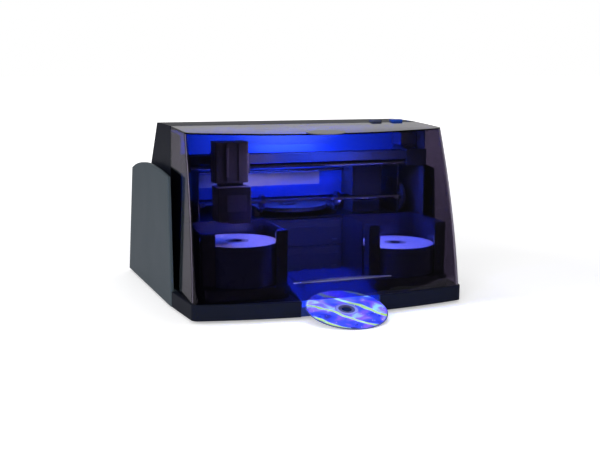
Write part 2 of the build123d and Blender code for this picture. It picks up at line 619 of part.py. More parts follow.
def make_picker_rail():
    """The beam that the picker runs on, the end brackets and the pulleys; returns the belt and the motor."""
    ys = (RAIL_Y - 6, RAIL_Y + 6)
    write("picker_beam", block((RAIL_LEFT, RAIL_RIGHT), ys, RAIL_Z))
    right = block((RAIL_RIGHT, INNER_PANEL_X), (RAIL_Y - 8, RAIL_Y + 10), (203, 229))
    left = block((-INNER_PANEL_X, RAIL_LEFT), (RAIL_Y - 8, RAIL_Y + 12), (203, 229))
    left += block((RAIL_LEFT - 1, -172), (RAIL_Y + 9, RAIL_Y + 11), (212, 228))
    left += rod("Y", (-180, 220), 1.5, (RAIL_Y + 11, -26.5))
    write("rail_end_brackets", group(left, right))
    wheel = Rot(90, 0, 0) * toothed_wheel(6, 5, 1.5 + RUNNING_GAP, 18)
    write("picker_idler", Pos(-180, -30.5, 220) * wheel)
    tight = Rot(90, 0, 0) * toothed_wheel(6, 5, 1.5, 18)
    shaft = rod("Y", (183.5, 220), 1.5, (-33, -22))
    write("picker_drive_pulley", Pos(183.5, -30.5, 220) * tight + shaft)
    motor = rod("Y", (183.5, 220), 14.5, (-25, 12))
    motor += block((170, 197.5), (-20, 14), (232, 252))
    motor -= rod("Y", (183.5, 220), 1.5 + RUNNING_GAP, (-26, -21))
    plane = Plane(origin=(-180, -32.5, 220), x_dir=(1, 0, 0), z_dir=(0, 1, 0))
    return plane * belt_loop(363.5, 6, 6, 4), motor


def make_guide_rods():
    """The bright rods that the picker and the print carriage run on."""
    picker_rod = rod("X", (RAIL_Y, RAIL_ROD_Z), RAIL_ROD_R, (RAIL_LEFT, RAIL_RIGHT))
    carriage_rod = rod("X", (PRINT_ROD_Y, PRINT_ROD_Z), PRINT_ROD_R, (-166.5, 166.5))
    write("guide_rods", group(picker_rod, carriage_rod))


def make_belts_and_motors():
    """The three belt drives: their pulleys are written singly, their belts and motors as two groups."""
    drives = (make_carriage_drive(), make_feed(), make_picker_rail())
    write("drive_belts", group(*[belt for belt, _ in drives]))
    write("drive_motors", group(*[motor for _, motor in drives]))


def make_picker():
    """The picker: carriage on the rail, hollow column, screw and motor, and the gripping head with its ram."""
    x, y = PICKER_X, STACK_Y
    carriage = block((x - 26, x + 26), (-74, RAIL_Y + 9.5), (202, 231))
    carriage -= block((x - 40, x + 40), (RAIL_Y - 6.3, RAIL_Y + 6.3), (RAIL_Z[0] - 0.3, RAIL_Z[1] + 0.3))
    carriage -= rod("X", (RAIL_Y, RAIL_ROD_Z), RAIL_ROD_R + RUNNING_GAP, (x - 40, x + 40))
    carriage += block((x - 8, x + 8), (RAIL_Y + 9.4, -32.8), (210, 216))
    write("picker_carriage", carriage)
    column = rounded(block((x - 35, x + 15), (COLUMN_FRONT_Y, -74), (192, COLUMN_TOP)), Axis.Z, 2.0)
    column -= block((x - 30, x + 10), (COLUMN_FRONT_Y + 3.5, -78), (190, COLUMN_TOP - WALL))
    for groove in (x - 26, x - 8):
        column -= block((groove, groove + 8), (COLUMN_FRONT_Y - 1, COLUMN_FRONT_Y + 1), (194, COLUMN_TOP - 2))
    write("picker_column", column)
    screw_x, screw_y = x - 10, -89
    ram = block((x - 28, x + 8), (COLUMN_FRONT_Y + 4, -84), (186, 232))
    ram -= rod("Z", (screw_x, screw_y), 3 + RUNNING_GAP, (190, 240))
    write("lift_screw", rod("Z", (screw_x, screw_y), 3, (195, 240)))
    motor = block((screw_x - 10, screw_x + 10), (COLUMN_FRONT_Y + 3.7, -79), (238, COLUMN_TOP - WALL))
    motor -= rod("Z", (screw_x, screw_y), 3 + RUNNING_GAP, (237, 240.5))
    write("lift_motor", motor)
    head = rounded(block((x - 36, x + 14), (-118, -84), (HEAD_FOOT_Z, 187)), Axis.Z, 2.0)
    head += ram
    head += block((x - 20, x + 13), (-116, -80), (134, HEAD_FOOT_Z))
    head -= block((x - 2.2, x + 7.5), (y - 1.5, y + 1.5), (130, 140))
    for turn in (120, 240):
        finger = rod("Z", (4.5 * cos(radians(turn)), 4.5 * sin(radians(turn))), 1.5, (130.5, 135))
        head += Pos(x, y, 0) * finger
    write("picker_head", head)
    jaw = block((x + 2, x + 5.5), (y - 1.3, y + 1.3), (130.5, 139.8))
    write("gripper_finger", jaw)


def make_electronics():
    """Power supply, main board, light bar, fan and the rear ports."""
    supply = block((95, 185), (60, 190), (PLINTH_TOP, 88))
    for i in range(8):
        supply -= block((105 + 9 * i, 109 + 9 * i), (55, 64), (45, 75))
    write("power_supply", supply)
    board = block((-185, -92), (30, 185), (34, 35.6))
    for x in (-180, -97):
        for y in (35, 180):
            board += rod("Z", (x, y), 2.5, (PLINTH_TOP, 34.5))
    for x, y, size in ((-160, 70, 22), (-125, 110, 16), (-150, 150, 12), (-115, 60, 10)):
        board += block((x - size / 2, x + size / 2), (y - size / 2, y + size / 2), (35, 38))
    board += block((-183, -175), (60, 130), (35, 44))
    write("circuit_boards", group(board, button_board()))
    bar = block((-60, 60), (28, 36), (258, 265.8))
    for x in (-40, 0, 40):
        bar += rod("Z", (x, 32), 2.5, (255.5, 259))
    write("light_bar", bar)
    frame = block((6, 56), (188, 203.6), (56, 106)) - rod("Y", (31, 81), 23.5, (180, 210))
    frame += rod("Y", (31, 81), 9, (200.5, 203.6))
    for turn in (45, 135, 225, 315):
        strut = Rot(0, turn, 0) * block((5, 24.5), (200.5, 203.6), (-1.5, 1.5))
        frame += Pos(31, 0, 81) * strut
    write("fan_frame", frame)
    rotor = rod("Y", (31, 81), 10, (190, 199.5))
    for i in range(7):
        blade = Rot(0, 360 * i / 7, 0) * Pos(15.5, 194.7, 0) * Rot(35, 0, 0) * Box(14, 1.4, 10)
        rotor += Pos(31, 0, 81) * blade
    write("fan_rotor", rotor)


def make_rear_panel():
    """The recessed rear panel with its vent, power inlet and data port."""
    panel = block((-68, 68), PANEL_Y, (PLINTH_TOP, 118))
    collar = block((-64, 64), (PANEL_Y[0], 250), (34, 114)) - block((-62, 62), (PANEL_Y[1], 260), (36, 112))
    collar &= crown_profile(WALL + 0.1)
    panel += collar
    for i in range(7):
        panel -= block((11 + 6 * i, 14 + 6 * i), (200, 210), (60, 102))
    panel -= block((-52, -28), (200, 210), (50, 68))
    panel -= block((-16, -4), (200, 210), (52, 64))
    write("rear_panel", panel)
    inlet = block((-52, -28), (192, 208), (50, 68)) - block((-49, -31), (196, 210), (53, 65))
    for x in (-44, -40, -36):
        inlet += block((x - 1, x + 1), (195, 205), (57, 61))
    port = block((-16, -4), (194, 207), (52, 64)) - block((-14.5, -5.5), (197, 210), (53.5, 62.5))
    port += block((-12, -8), (196, 205), (56, 60))
    write("rear_ports", group(inlet, port))


def make_screws():
    """Pan-head screws that hold the bottom plate."""
    screws = []
    for x in (-150, 150):
        for y in (-120, 40, 210):
            screw = rod("Z", (x, y), 3, (2.4, FOOT_HEIGHT))
            screws.append(fillet(screw.edges().group_by(Axis.Z)[0], 0.8))
    write("case_screws", group(*screws))


def main():
    """Builds every piece and writes it."""
    os.makedirs("parts", exist_ok=True)
    shell = cover_shell()
    make_lid(shell)
    make_badge()
    make_hinge()
    make_rear_cover(shell)
    make_buttons()
    make_plinth()
    make_bottom()
    make_chute()
    make_printed_disc()
    make_pods()
    make_bin("left_disc_bin", -STACK_X)
    make_bin("right_disc_bin", STACK_X)
    make_stack("left_disc_stack", -STACK_X, LEFT_DISCS)
    make_stack("right_disc_stack", STACK_X, RIGHT_DISCS)
    make_drives()
    make_drive_cage()
    make_printer_chassis()
    make_print_carriage()
    make_print_tray()
    make_inner_panels()
    make_guide_rods()
    make_belts_and_motors()
    make_picker()
    make_electronics()
    make_rear_panel()
    make_screws()


main()
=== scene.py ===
"""Looks of the disc label printer: finishes for every piece, fine detail, soft studio light and camera."""

import json
import logging
import math
from dataclasses import dataclass, field
from enum import Enum

import bmesh
import bpy
from mathutils import Matrix, Vector


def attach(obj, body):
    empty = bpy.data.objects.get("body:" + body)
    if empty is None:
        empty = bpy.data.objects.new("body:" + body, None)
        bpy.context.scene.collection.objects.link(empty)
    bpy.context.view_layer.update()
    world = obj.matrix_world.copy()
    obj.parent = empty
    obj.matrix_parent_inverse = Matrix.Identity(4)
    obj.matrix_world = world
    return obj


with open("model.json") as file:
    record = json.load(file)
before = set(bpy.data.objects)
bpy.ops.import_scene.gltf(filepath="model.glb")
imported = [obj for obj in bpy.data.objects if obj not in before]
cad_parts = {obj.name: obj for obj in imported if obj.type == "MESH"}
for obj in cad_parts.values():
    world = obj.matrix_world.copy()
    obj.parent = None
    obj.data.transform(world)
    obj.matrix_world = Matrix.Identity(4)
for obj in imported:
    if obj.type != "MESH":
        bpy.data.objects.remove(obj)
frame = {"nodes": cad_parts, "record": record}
LOG = logging.getLogger("disc_printer")
MM = 0.001
DEPTH_SHIFT = 6.5
RELIEF = 0.00006
FINE_DETAIL = 3.0
SLOW_SCALE = 14.0
SLOW_DETAIL = 4.0
MARKS_FROM = 0.45
ROUND_SIDES = 20

Colour = tuple[float, float, float]
Point = tuple[float, float, float]


class Grain(Enum):
    """How the fine relief of a surface runs."""

    SPECKLED = (1.0, 1.0, 1.0)
    DRAWN_ALONG_X = (0.03, 1.0, 1.0)
    DRAWN_ALONG_Y = (1.0, 0.03, 1.0)
    DRAWN_ALONG_Z = (1.0, 1.0, 0.03)


def metres(x: float, y: float, z: float) -> Vector:
    """Turns a place measured in the maker's millimetres into metres in the shared frame.

    Args:
        x: millimetres to the right of the middle.
        y: millimetres back from the lid's datum.
        z: millimetres above the table.

    Returns:
        The same place in metres.
    """
    return Vector((x, y + DEPTH_SHIFT, z)) * MM


class Tree:
    """A small helper that adds and joins nodes in one shader or geometry tree."""

    def __init__(self, tree: bpy.types.NodeTree) -> None:
        """Keeps the tree that nodes are added to."""
        self.tree = tree

    def add(self, kind: str, **values: object) -> bpy.types.Node:
        """Adds one node.

        Args:
            kind: the node's type name.
            values: attributes to set on it.

        Returns:
            The new node.
        """
        node = self.tree.nodes.new(kind)
        for name, value in values.items():
            setattr(node, name, value)
        return node

    def join(self, source: bpy.types.NodeSocket, target: bpy.types.NodeSocket) -> None:
        """Links one socket to another."""
        self.tree.links.new(source, target)

    def maths(self, operation: str, first: object, second: object = None) -> bpy.types.NodeSocket:
        """Adds a Math node.

        Args:
            operation: the node's operation.
            first: a socket or a number.
            second: a socket, a number or nothing.

        Returns:
            The result's socket.
        """
        node = self.add("ShaderNodeMath", operation=operation)
        for slot, value in zip(node.inputs, (first, second)):
            if isinstance(value, bpy.types.NodeSocket):
                self.join(value, slot)
            elif value is not None:
                slot.default_value = value
        return node.outputs[0]

    def ramp(self, factor: bpy.types.NodeSocket, stops: list[tuple[float, Colour]],
             stepped: bool = False) -> bpy.types.NodeSocket:
        """Adds a colour ramp.

        Args:
            factor: what drives it.
            stops: places and colours.
            stepped: whether colours change at once at each stop.

        Returns:
            The colour's socket.
        """
        node = self.add("ShaderNodeValToRGB")
        ramp = node.color_ramp
        ramp.interpolation = "CONSTANT" if stepped else "LINEAR"
        while len(ramp.elements) < len(stops):
            ramp.elements.new(1.0)
        for element, (place, colour) in zip(ramp.elements, stops):
            element.position = place
            element.color = (*colour, 1.0)
        self.join(factor, node.inputs["Fac"])
        return node.outputs["Color"]

    def mix(self, factor: object, first: object, second: object) -> bpy.types.NodeSocket:
        """Adds a colour mix.

        Args:
            factor: a socket or a number.
            first: a socket or a colour.
            second: a socket or a colour.

        Returns:
            The mixed colour's socket.
        """
        node = self.add("ShaderNodeMix", data_type="RGBA")
        for slot, value in ((node.inputs[0], factor), (node.inputs[6], first), (node.inputs[7], second)):
            if isinstance(value, bpy.types.NodeSocket):
                self.join(value, slot)
            elif isinstance(value, tuple):
                slot.default_value = (*value, 1.0)
            else:
                slot.default_value = value
        return node.outputs[2]


def surface_group() -> bpy.types.NodeTree:
    """Builds the shared surface effect: fine relief, slow change of tone and faint handling marks.

    Returns:
        The node group.
    """
    group = bpy.data.node_groups.new("worked_surface", "ShaderNodeTree")
    made = group.interface.new_socket
    made("Tone", in_out="INPUT", socket_type="NodeSocketColor")
    for name, value in (("Roughness", 0.5), ("Scale", 900.0), ("Variation", 0.12), ("Marks", 0.1)):
        made(name, in_out="INPUT", socket_type="NodeSocketFloat").default_value = value
    made("Stretch", in_out="INPUT", socket_type="NodeSocketVector").default_value = (1.0, 1.0, 1.0)
    made("Color", in_out="OUTPUT", socket_type="NodeSocketColor")
    made("Roughness", in_out="OUTPUT", socket_type="NodeSocketFloat")
    made("Height", in_out="OUTPUT", socket_type="NodeSocketFloat")
    t = Tree(group)
    given = t.add("NodeGroupInput").outputs
    result = t.add("NodeGroupOutput").inputs
    place = t.add("ShaderNodeTexCoord").outputs["Object"]
    mapping = t.add("ShaderNodeMapping")
    t.join(place, mapping.inputs["Vector"])
    t.join(given["Stretch"], mapping.inputs["Scale"])
    fine = t.add("ShaderNodeTexNoise")
    fine.inputs["Detail"].default_value = FINE_DETAIL
    t.join(mapping.outputs[0], fine.inputs["Vector"])
    t.join(given["Scale"], fine.inputs["Scale"])
    slow = t.add("ShaderNodeTexNoise")
    slow.inputs["Scale"].default_value = SLOW_SCALE
    slow.inputs["Detail"].default_value = SLOW_DETAIL
    t.join(place, slow.inputs["Vector"])
    offset = t.maths("MULTIPLY", t.maths("SUBTRACT", slow.outputs["Fac"], 0.5), given["Variation"])
    grain = t.maths("MULTIPLY", t.maths("SUBTRACT", fine.outputs["Fac"], 0.5), given["Variation"])
    value = t.maths("ADD", t.maths("ADD", offset, grain), 1.0)
    tint = t.add("ShaderNodeHueSaturation")
    t.join(given["Tone"], tint.inputs["Color"])
    t.join(value, tint.inputs["Value"])
    marks = t.maths("MULTIPLY", t.maths("SUBTRACT", slow.outputs["Fac"], MARKS_FROM), given["Marks"])
    t.join(tint.outputs[0], result["Color"])
    t.join(t.maths("ADD", given["Roughness"], marks), result["Roughness"])
    t.join(fine.outputs["Fac"], result["Height"])
    return group


SURFACE = surface_group()


@dataclass(frozen=True)
class Finish:
    """One opaque finish, with its relief and its gloss."""

    name: str
    tone: Colour
    roughness: float = 0.45
    metallic: float = 0.0
    scale: float = 900.0
    bump: float = 0.15
    variation: float = 0.12
    marks: float = 0.12
    coat: float = 0.0
    coat_roughness: float = 0.08
    gloss_level: float = 0.5
    glow: float = 0.0
    glow_tone: Colour = (0.05, 0.2, 1.0)
    grain: Grain = Grain.SPECKLED

    def start(self) -> tuple[bpy.types.Material, Tree, bpy.types.Node, bpy.types.Node]:
        """Makes the material with the shared surface joined to its shader.

        Returns:
            The material, its tree, its shader and its surface node.
        """
        material = bpy.data.materials.new(self.name)
        material.use_nodes = True
        tree = Tree(material.node_tree)
        shader = material.node_tree.nodes["Principled BSDF"]
        surface = tree.add("ShaderNodeGroup", node_tree=SURFACE)
        surface.inputs["Tone"].default_value = (*self.tone, 1.0)
        for name, value in (("Roughness", self.roughness), ("Scale", self.scale),
                            ("Variation", self.variation), ("Marks", self.marks)):
            surface.inputs[name].default_value = value
        surface.inputs["Stretch"].default_value = self.grain.value
        tree.join(surface.outputs["Color"], shader.inputs["Base Color"])
        tree.join(surface.outputs["Roughness"], shader.inputs["Roughness"])
        bump = tree.add("ShaderNodeBump")
        bump.inputs["Strength"].default_value = self.bump
        bump.inputs["Distance"].default_value = RELIEF
        tree.join(surface.outputs["Height"], bump.inputs["Height"])
        tree.join(bump.outputs[0], shader.inputs["Normal"])
        shader.inputs["Metallic"].default_value = self.metallic
        shader.inputs["Specular IOR Level"].default_value = self.gloss_level
        shader.inputs["Coat Weight"].default_value = self.coat
        shader.inputs["Coat Roughness"].default_value = self.coat_roughness
        if self.glow:
            shader.inputs["Emission Color"].default_value = (*self.glow_tone, 1.0)
            shader.inputs["Emission Strength"].default_value = self.glow
        return material, tree, shader, surface

    def build(self) -> bpy.types.Material:
        """Makes the material."""
        return self.start()[0]


@dataclass(frozen=True)
class SmokedAcrylic:
    """The lid's clear smoked plastic: shadow rays pass it tinted, so that light reaches what is inside."""

    name: str = "smoked_acrylic"
    tone: Colour = (0.235, 0.2, 0.285)
    shadow_tone: Colour = (0.4, 0.4, 0.48)
    ior: float = 1.45
    haze_scale: float = 9.0
    haze_darkening: float = 0.88
    haze_roughness: float = 0.012

    def build(self) -> bpy.types.Material:
        """Makes the material.

        Returns:
            The material.
        """
        material = bpy.data.materials.new(self.name)
        material.use_nodes = True
        t = Tree(material.node_tree)
        shader = material.node_tree.nodes["Principled BSDF"]
        output = material.node_tree.nodes["Material Output"]
        shader.inputs["Transmission Weight"].default_value = 1.0
        shader.inputs["IOR"].default_value = self.ior
        place = t.add("ShaderNodeTexCoord").outputs["Object"]
        haze = t.add("ShaderNodeTexNoise")
        haze.inputs["Scale"].default_value = self.haze_scale
        t.join(place, haze.inputs["Vector"])
        dark = tuple(self.haze_darkening * c for c in self.tone)
        t.join(t.mix(haze.outputs["Fac"], dark, self.tone), shader.inputs["Base Color"])
        t.join(t.maths("MULTIPLY", haze.outputs["Fac"], self.haze_roughness), shader.inputs["Roughness"])
        passing = t.add("ShaderNodeBsdfTransparent")
        passing.inputs["Color"].default_value = (*self.shadow_tone, 1.0)
        blend = t.add("ShaderNodeMixShader")
        t.join(t.add("ShaderNodeLightPath").outputs["Is Shadow Ray"], blend.inputs[0])
        t.join(shader.outputs[0], blend.inputs[1])
        t.join(passing.outputs[0], blend.inputs[2])
        t.join(blend.outputs[0], output.inputs["Surface"])
        return material


@dataclass(frozen=True)
class PaintedGlowPanel:
    """The blue back panel with painted light: its glow is painted brightest where the lamps of the light bar
    stand over it.
    """

    name: str = "blue_panel_painted_glow"
    lamps: tuple[float, ...] = (-0.040, 0.0, 0.040)
    lamp_height: float = 0.250
    width_squash: float = 0.55
    sharpness: float = 18.0
    share: float = 0.36
    stops: tuple[tuple[float, Colour], ...] = (
        (0.0, (0.0, 0.003, 0.03)), (0.25, (0.003, 0.025, 0.22)),
        (0.6, (0.01, 0.1, 0.8)), (1.0, (0.2, 0.5, 1.0)))

    def build(self) -> bpy.types.Material:
        """Makes the material.

        Returns:
            The material.
        """
        # the whole panel glows though it is no lamp: painted light from the light bar
        base = Finish(self.name, (0.02, 0.07, 0.42), 0.35, bump=0.08, coat=0.3, glow=1.1)
        material, t, shader, _ = base.start()
        place = t.add("ShaderNodeTexCoord").outputs["Object"]
        total = None
        for lamp in self.lamps:
            distance = t.add("ShaderNodeVectorMath", operation="DISTANCE")
            flat = t.add("ShaderNodeVectorMath", operation="MULTIPLY")
            flat.inputs[1].default_value = (self.width_squash, 0.0, 1.0)
            t.join(place, flat.inputs[0])
            t.join(flat.outputs[0], distance.inputs[0])
            distance.inputs[1].default_value = (self.width_squash * lamp, 0.0, self.lamp_height)
            near = t.maths("MULTIPLY", distance.outputs["Value"], self.sharpness)
            fall = t.maths("DIVIDE", 1.0, t.maths("ADD", t.maths("MULTIPLY", near, near), 1.0))
            total = fall if total is None else t.maths("ADD", total, fall)
        # painted pool of light: the glow's colour is brightest near each lamp and falls off away from it
        glow = t.ramp(t.maths("MULTIPLY", total, self.share), list(self.stops))
        t.join(glow, shader.inputs["Emission Color"])
        return material


def radial(t: Tree, centre: Point, tilt: float = 0.0) -> tuple[bpy.types.NodeSocket, bpy.types.NodeSocket]:
    """Adds coordinates that lie in a disc's own plane, from its middle.

    Args:
        t: the tree.
        centre: the disc's middle in metres.
        tilt: the disc's slope in radians.

    Returns:
        The distance from the middle, and the place in the disc's plane.
    """
    centred = t.add("ShaderNodeVectorMath", operation="SUBTRACT")
    t.join(t.add("ShaderNodeTexCoord").outputs["Object"], centred.inputs[0])
    centred.inputs[1].default_value = centre
    turned = t.add("ShaderNodeVectorRotate", rotation_type="X_AXIS")
    turned.inputs["Angle"].default_value = -tilt
    t.join(centred.outputs[0], turned.inputs["Vector"])
    flat = t.add("ShaderNodeVectorMath", operation="MULTIPLY")
    flat.inputs[1].default_value = (1.0, 1.0, 0.0)
    t.join(turned.outputs[0], flat.inputs[0])
    length = t.add("ShaderNodeVectorMath", operation="LENGTH")
    t.join(flat.outputs[0], length.inputs[0])
    return length.outputs["Value"], flat.outputs[0]


DISC_RIM = 0.0604
DISC_THICKNESS = 0.0012
WAVE_UNIT = 20.0
RING_SCALE = 1.0 / DISC_RIM
HUB = 0.0172 * RING_SCALE
PRINT_EDGE = 0.0583 * RING_SCALE
LAYER_BANDS = math.tau / (WAVE_UNIT * DISC_THICKNESS)
HUB_RINGS = ((0.0, (0.05, 0.05, 0.07)), (0.2, (0.3, 0.31, 0.36)), (0.265, (0.16, 0.16, 0.2)))
BLANK_TONES = ((0.72, 0.72, 0.86), (0.8, 0.8, 0.92))
RIM_TONES = ((0.02, 0.025, 0.07), (0.10, 0.12, 0.28))
CLOUD_TONES = ((0.3, (0.02, 0.02, 0.16)), (0.45, (0.05, 0.09, 0.75)),
               (0.56, (0.3, 0.12, 0.8)), (0.7, (0.35, 0.75, 1.0)))
CLOUD_SCALE = 34.0
CLOUD_DISTORTION = 0.8
RIBBON_SHAPE = (("Scale", 12.0), ("Distortion", 3.0), ("Detail Scale", 1.2))
DOT_SCALE = 120.0
RIBBON_TONE = (0.55, 0.85, 0.12)
RIBBON_FROM = 0.93
DOT_TONE = (0.85, 0.9, 1.0)
DOT_REACH = 0.09


@dataclass(frozen=True)
class DiscFace:
    """A disc's face: clear hub, moulded ring, then a blank white or a printed area."""

    name: str
    centre: Point
    printed: bool = False
    tilt: float = 0.0

    def build(self) -> bpy.types.Material:
        """Makes the material.

        Returns:
            The material.
        """
        base = Finish(self.name, (0.8, 0.8, 0.9), 0.28, bump=0.02, coat=0.6)
        material, t, shader, _ = base.start()
        radius, flat = radial(t, self.centre, self.tilt)
        ring = t.maths("MULTIPLY", radius, RING_SCALE)
        area = self.artwork(t, flat) if self.printed else t.mix(0.5, *BLANK_TONES)
        hub = t.ramp(ring, list(HUB_RINGS), True)
        inner = t.maths("LESS_THAN", ring, HUB)
        outer = t.maths("GREATER_THAN", ring, PRINT_EDGE)
        colour = t.mix(inner, area, hub)
        layers = t.add("ShaderNodeTexWave", bands_direction="Z")
        layers.inputs["Scale"].default_value = LAYER_BANDS
        t.join(t.add("ShaderNodeTexCoord").outputs["Object"], layers.inputs["Vector"])
        rim = t.mix(layers.outputs["Fac"], *RIM_TONES)
        t.join(t.mix(outer, colour, rim), shader.inputs["Base Color"])
        return material

    def artwork(self, t: Tree, flat: bpy.types.NodeSocket) -> bpy.types.NodeSocket:
        """Adds a generic print: violet and blue cloud, lime ribbons and pale dots.

        Args:
            t: the tree.
            flat: places in the disc's plane.

        Returns:
            The print's colour.
        """
        cloud = t.add("ShaderNodeTexNoise")
        cloud.inputs["Scale"].default_value = CLOUD_SCALE
        cloud.inputs["Distortion"].default_value = CLOUD_DISTORTION
        t.join(flat, cloud.inputs["Vector"])
        base = t.ramp(cloud.outputs["Fac"], list(CLOUD_TONES))
        ribbon = t.add("ShaderNodeTexWave", bands_direction="DIAGONAL")
        for name, value in RIBBON_SHAPE:
            ribbon.inputs[name].default_value = value
        t.join(flat, ribbon.inputs["Vector"])
        lime = t.mix(t.maths("GREATER_THAN", ribbon.outputs["Fac"], RIBBON_FROM), base, RIBBON_TONE)
        dots = t.add("ShaderNodeTexVoronoi")
        dots.inputs["Scale"].default_value = DOT_SCALE
        t.join(flat, dots.inputs["Vector"])
        return t.mix(t.maths("LESS_THAN", dots.outputs["Distance"], DOT_REACH), lime, DOT_TONE)


class Form(Enum):
    """The shape that a repeated fitting takes."""

    ROUND = "round"
    BLOCK = "block"


@dataclass(frozen=True)
class Row:
    """A straight row of equal small fittings, made with geometry nodes.

    Attributes:
        name: the piece's name.
        body: the body it rides on.
        slot: the record's material slot.
        form: round or block.
        count: how many.
        start: the first one's middle, in millimetres.
        step: from one to the next, in millimetres.
        size: each one's size in millimetres; a round one's width, width and length.
        turn: rotation of each one in radians.
    """

    name: str
    body: str
    slot: str
    form: Form
    count: int
    start: Point
    step: Point
    size: Point
    turn: Point = (0.0, 0.0, 0.0)

    def tree(self) -> bpy.types.NodeTree:
        """Builds the geometry tree with named inputs.

        Returns:
            The tree.
        """
        group = bpy.data.node_groups.new(self.name + "_row", "GeometryNodeTree")
        made = group.interface.new_socket
        made("Geometry", in_out="INPUT", socket_type="NodeSocketGeometry")
        made("Count", in_out="INPUT", socket_type="NodeSocketInt")
        for name in ("Start", "Step", "Size", "Turn"):
            made(name, in_out="INPUT", socket_type="NodeSocketVector")
        made("Finish", in_out="INPUT", socket_type="NodeSocketMaterial")
        made("Geometry", in_out="OUTPUT", socket_type="NodeSocketGeometry")
        t = Tree(group)
        given = t.add("NodeGroupInput").outputs
        line = t.add("GeometryNodeMeshLine", mode="OFFSET")
        t.join(given["Count"], line.inputs["Count"])
        t.join(given["Start"], line.inputs["Start Location"])
        t.join(given["Step"], line.inputs["Offset"])
        if self.form is Form.ROUND:
            shape = t.add("GeometryNodeMeshCylinder")
            shape.inputs["Vertices"].default_value = ROUND_SIDES
            shape.inputs["Radius"].default_value = 0.5
            shape.inputs["Depth"].default_value = 1.0
        else:
            shape = t.add("GeometryNodeMeshCube")
            shape.inputs["Size"].default_value = (1.0, 1.0, 1.0)
        sized = t.add("GeometryNodeTransform")
        t.join(shape.outputs["Mesh"], sized.inputs["Geometry"])
        t.join(given["Size"], sized.inputs["Scale"])
        placed = t.add("GeometryNodeInstanceOnPoints")
        t.join(line.outputs["Mesh"], placed.inputs["Points"])
        t.join(sized.outputs["Geometry"], placed.inputs["Instance"])
        t.join(given["Turn"], placed.inputs["Rotation"])
        real = t.add("GeometryNodeRealizeInstances")
        t.join(placed.outputs["Instances"], real.inputs["Geometry"])
        dressed = t.add("GeometryNodeSetMaterial")
        t.join(real.outputs["Geometry"], dressed.inputs["Geometry"])
        t.join(given["Finish"], dressed.inputs["Material"])
        t.join(dressed.outputs["Geometry"], t.add("NodeGroupOutput").inputs["Geometry"])
        return group

    def build(self, finish: bpy.types.Material) -> bpy.types.Object:
        """Makes the row as a plain mesh that rides on its body.

        Args:
            finish: the material.

        Returns:
            The finished piece.
        """
        host = bpy.data.objects.new(self.name + "_host", bpy.data.meshes.new("host"))
        bpy.context.scene.collection.objects.link(host)
        tree = self.tree()
        modifier = host.modifiers.new("row", "NODES")
        modifier.node_group = tree
        values = {"Count": self.count, "Start": metres(*self.start), "Step": Vector(self.step) * MM,
                  "Size": Vector(self.size) * MM, "Turn": Vector(self.turn), "Finish": finish}
        for item in tree.interface.items_tree:
            if item.in_out == "INPUT" and item.name in values:
                modifier[item.identifier] = values[item.name]
        bpy.context.view_layer.update()
        evaluated = host.evaluated_get(bpy.context.evaluated_depsgraph_get())
        mesh = bpy.data.meshes.new_from_object(evaluated)
        bpy.data.objects.remove(host)
        return settle(self.name, mesh, self.body, finish)


def settle(name: str, mesh: bpy.types.Mesh, body: str,
           finish: bpy.types.Material) -> bpy.types.Object:
    """Places a finished mesh as a piece on its body.

    Args:
        name: the piece's name.
        mesh: its mesh, already in place.
        body: the body it rides on.
        finish: its material.

    Returns:
        The piece.
    """
    mesh.name = name
    piece = bpy.data.objects.new(name, mesh)
    bpy.context.scene.collection.objects.link(piece)
    mesh.materials.clear()
    mesh.materials.append(finish)
    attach(piece, body)
    LOG.info("%s: %d faces on %s", name, len(mesh.polygons), body)
    return piece


@dataclass
class SoftBlock:
    """A small moulded block with rounded edges, such as a label plate or a lens."""

    name: str
    body: str
    slot: str
    low: Point
    high: Point
    edge: float = 0.4

    def build(self, finish: bpy.types.Material) -> bpy.types.Object:
        """Makes the block.

        Args:
            finish: its material.

        Returns:
            The piece.
        """
        low, high = metres(*self.low), metres(*self.high)
        form = bmesh.new()
        bmesh.ops.create_cube(form, size=1.0)
        bmesh.ops.scale(form, vec=high - low, verts=form.verts)
        bmesh.ops.translate(form, vec=(low + high) / 2, verts=form.verts)
        bmesh.ops.bevel(form, geom=form.edges[:], offset=self.edge * MM, segments=3, affect="EDGES",
                        profile=0.5)
        mesh = bpy.data.meshes.new(self.name)
        form.to_mesh(mesh)
        form.free()
        return settle(self.name, mesh, self.body, finish)


